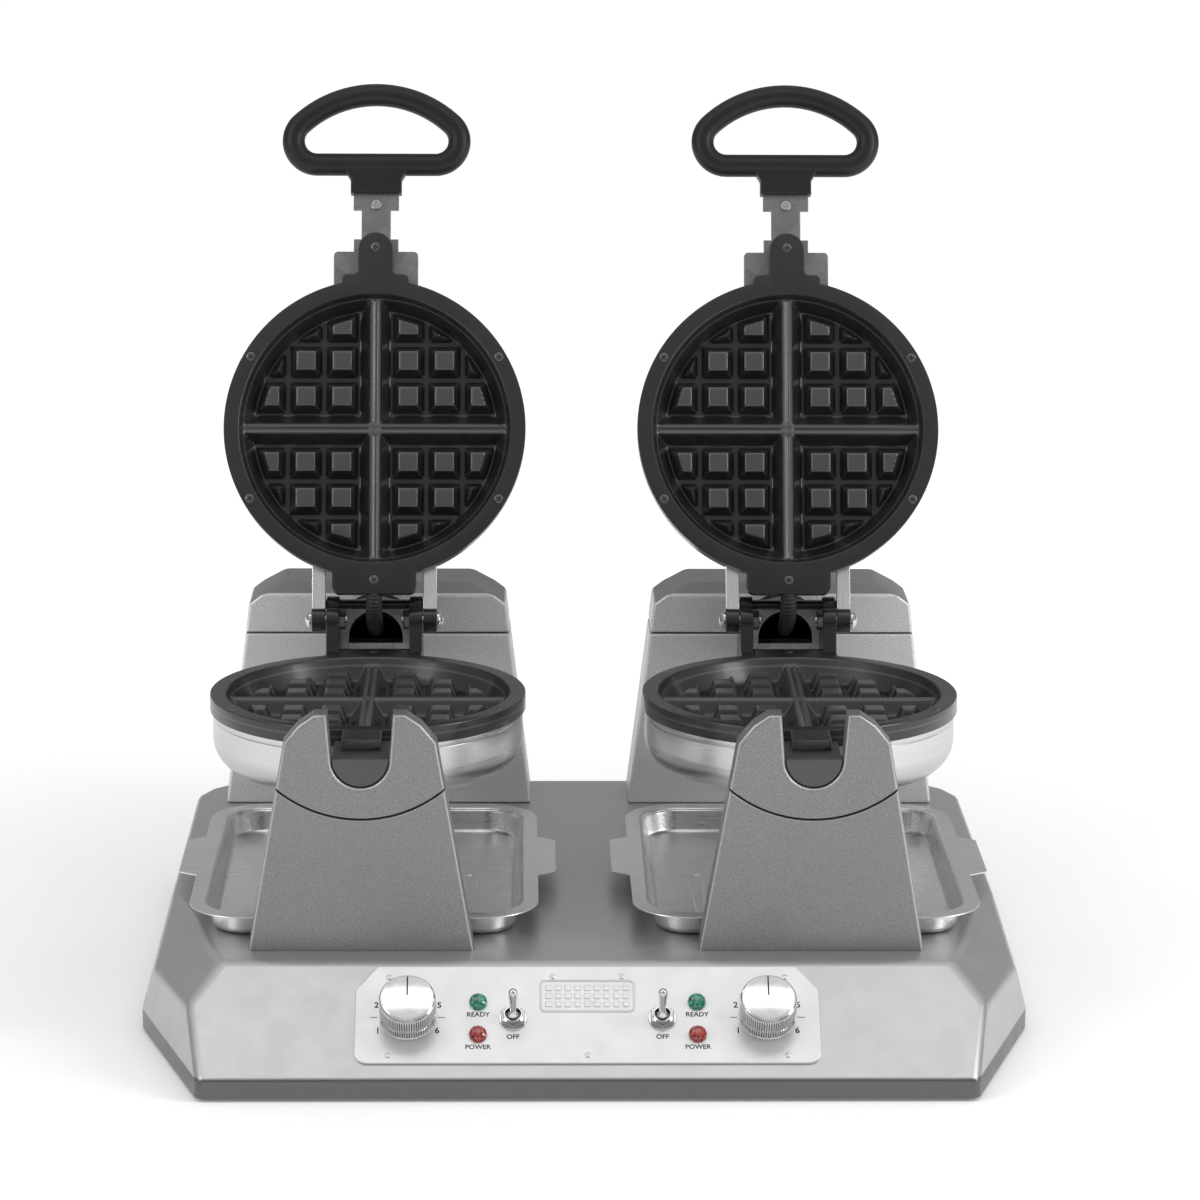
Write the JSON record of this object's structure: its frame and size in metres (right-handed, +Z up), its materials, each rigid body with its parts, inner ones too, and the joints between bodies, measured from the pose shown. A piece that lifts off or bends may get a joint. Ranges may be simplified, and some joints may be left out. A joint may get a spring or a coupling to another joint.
{
  "type": "waffle maker",
  "caption": "Counter-top waffle maker with two side-by-side round units, open lids with loop handles, front and rear towers, drip trays and a sloping control panel.",
  "frame": {"origin": "middle of the footprint, on the surface that the feet stand on", "axes": "+X to the right seen from the front, +Y to the back, +Z up"},
  "size_m": [0.55, 0.498, 0.5517],
  "materials": {
    "grey_paint": "satin silver-grey paint",
    "cast_paint": "fine hammered silver paint on castings",
    "panel": "pale silver panel finish",
    "stainless": "brushed stainless steel",
    "zinc": "zinc-plated pressed steel",
    "nonstick": "dark non-stick coating on castings",
    "black_plastic": "black heat-resistant plastic",
    "chrome": "bright chrome plating",
    "rubber": "black rubber",
    "bronze": "oil bronze",
    "green_lens": "clear green faceted lens",
    "red_lens": "clear red faceted lens",
    "ceramic": "ivory insulator",
    "bolt_steel": "bright steel fasteners",
    "trunnion": "dark grey machined iron"
  },
  "bodies": {
    "stand": {"base_housing": "grey_paint", "base_pan": "zinc", "rubber_feet": "rubber", "control_panel": "panel", "panel_rivets": "panel", "green_lenses": "green_lens", "red_lenses": "red_lens", "toggle_bodies": "chrome", "thermostats": "zinc", "terminal_block": "ceramic", "cable_gland": "black_plastic", "rear_bearings": "bronze", "front_tower_left": "cast_paint", "front_tower_right": "cast_paint", "front_saddle_left": "cast_paint", "front_saddle_right": "cast_paint", "rear_tower_left": "cast_paint", "rear_tower_right": "cast_paint", "rear_cap_left": "cast_paint", "rear_cap_right": "cast_paint"},
    "rotor_left": {"lower_plate_left": "nonstick", "lower_shell_left": "stainless", "lower_heater_left": "bolt_steel", "front_trunnion_left": "trunnion", "rotor_yoke_left": "black_plastic", "hood_plate_left": "zinc", "rear_spindle_left": "bolt_steel", "rotor_fasteners_left": "bolt_steel"},
    "lid_left": {"upper_plate_left": "nonstick", "upper_shell_left": "stainless", "upper_heater_left": "bolt_steel", "lid_arms_left": "stainless", "lid_knuckles_left": "black_plastic", "lid_bracket_left": "zinc", "lid_handle_left": "black_plastic", "lid_screws_left": "bolt_steel", "cable_sleeve_left": "rubber"},
    "tray_left": {"drip_tray_left": "stainless"},
    "dial_left": {"knob_left": "chrome"},
    "switch_left": {"toggle_lever_left": "chrome"},
    "rotor_right": {"lower_plate_right": "nonstick", "lower_shell_right": "stainless", "lower_heater_right": "bolt_steel", "front_trunnion_right": "trunnion", "rotor_yoke_right": "black_plastic", "hood_plate_right": "zinc", "rear_spindle_right": "bolt_steel", "rotor_fasteners_right": "bolt_steel"},
    "lid_right": {"upper_plate_right": "nonstick", "upper_shell_right": "stainless", "upper_heater_right": "bolt_steel", "lid_arms_right": "stainless", "lid_knuckles_right": "black_plastic", "lid_bracket_right": "zinc", "lid_handle_right": "black_plastic", "lid_screws_right": "bolt_steel", "cable_sleeve_right": "rubber"},
    "tray_right": {"drip_tray_right": "stainless"},
    "dial_right": {"knob_right": "chrome"},
    "switch_right": {"toggle_lever_right": "chrome"}
  },
  "joints": [
    {"name": "rotor_left_turn", "type": "hinge", "parent": "stand", "child": "rotor_left", "pos_m": [-0.137, -0.016, 0.186], "axis": [0, 1, 0], "range_deg": [0, 15]},
    {"name": "lid_left_hinge", "type": "hinge", "parent": "rotor_left", "child": "lid_left", "pos_m": [-0.137, 0.1104, 0.2095], "axis": [1, 0, 0], "range_deg": [0, 109.5], "deforming": ["cable_sleeve_left"]},
    {"name": "tray_left_slide", "type": "slide", "parent": "stand", "child": "tray_left", "axis": [-1, 0, 0], "range_m": [0, 0.16]},
    {"name": "knob_left_turn", "type": "hinge", "parent": "stand", "child": "dial_left", "pos_m": [-0.1075, -0.21574, 0.04211], "axis": [0, -0.6189, 0.7855], "range_deg": [-140, 140]},
    {"name": "toggle_left_flip", "type": "hinge", "parent": "stand", "child": "switch_left", "pos_m": [-0.0446, -0.21909, 0.04394], "axis": [1, 0, 0], "range_deg": [0, 26]},
    {"name": "rotor_right_turn", "type": "hinge", "parent": "stand", "child": "rotor_right", "pos_m": [0.137, -0.016, 0.186], "axis": [0, 1, 0], "range_deg": [0, 15]},
    {"name": "lid_right_hinge", "type": "hinge", "parent": "rotor_right", "child": "lid_right", "pos_m": [0.137, 0.1104, 0.2095], "axis": [1, 0, 0], "range_deg": [0, 109.5], "deforming": ["cable_sleeve_right"]},
    {"name": "tray_right_slide", "type": "slide", "parent": "stand", "child": "tray_right", "axis": [1, 0, 0], "range_m": [0, 0.16]},
    {"name": "knob_right_turn", "type": "hinge", "parent": "stand", "child": "dial_right", "pos_m": [0.1075, -0.21574, 0.04211], "axis": [0, -0.6189, 0.7855], "range_deg": [-140, 140]},
    {"name": "toggle_right_flip", "type": "hinge", "parent": "stand", "child": "switch_right", "pos_m": [0.0446, -0.21909, 0.04394], "axis": [1, 0, 0], "range_deg": [0, 26]}
  ]
}
